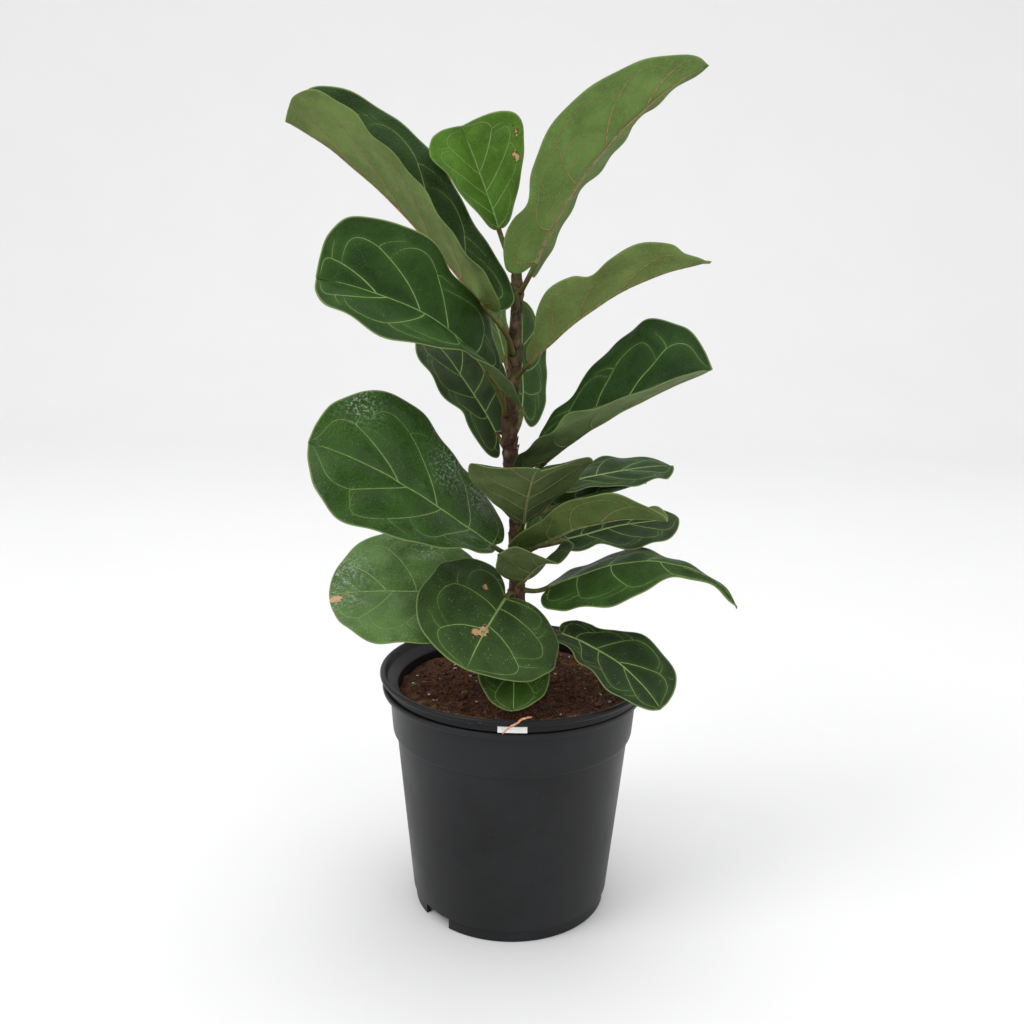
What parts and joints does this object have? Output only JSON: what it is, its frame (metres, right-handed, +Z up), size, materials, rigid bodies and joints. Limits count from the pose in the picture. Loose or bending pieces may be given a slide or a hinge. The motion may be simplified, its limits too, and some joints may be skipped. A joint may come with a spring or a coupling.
{
  "type": "potted fiddle leaf fig",
  "caption": "Young fiddle leaf fig with big lyre-shaped leaves along an upright woody stem, growing in a rimmed nursery pot nested inside a flared outer pot.",
  "frame": {"origin": "on the pot's axis, at the level of the surface the pot stands on", "axes": "+Z up along the stem; -Y towards the front, which carries the label; +X to the right as seen from the front"},
  "size_m": [0.2662, 0.2057, 0.5115],
  "materials": {
    "outer_pot": "satin charcoal polypropylene with faint moulding marks",
    "inner_pot": "satin near-black polypropylene, slightly scuffed and dusty rim",
    "soil": "moist reddish-brown peat and coir mix with bark, rootlets and perlite",
    "stem": "dark reddish-brown bark with tan leaf scars and papery stipule remains",
    "leaf": "leathery leaf, glossy dark green above with light veins, paler and matt below",
    "label": "blank matt white label",
    "fibre": "dry coppery root fibre"
  },
  "bodies": {
    "root": {"outer_pot": "outer_pot", "inner_pot": "inner_pot", "soil": "soil", "stem": "stem", "leaf_01": "leaf", "leaf_02": "leaf", "leaf_03": "leaf", "leaf_04": "leaf", "leaf_05": "leaf", "leaf_06": "leaf", "leaf_07": "leaf", "leaf_08": "leaf", "leaf_09": "leaf", "leaf_10": "leaf", "leaf_11": "leaf", "leaf_12": "leaf", "leaf_13": "leaf", "leaf_14": "leaf", "leaf_15": "leaf", "leaf_16": "leaf", "leaf_17": "leaf", "leaf_18": "leaf", "leaf_19": "leaf", "leaf_20": "leaf", "leaf_21": "leaf", "leaf_22": "leaf", "pot_label": "label", "root_fibre": "fibre"}
  },
  "joints": []
}
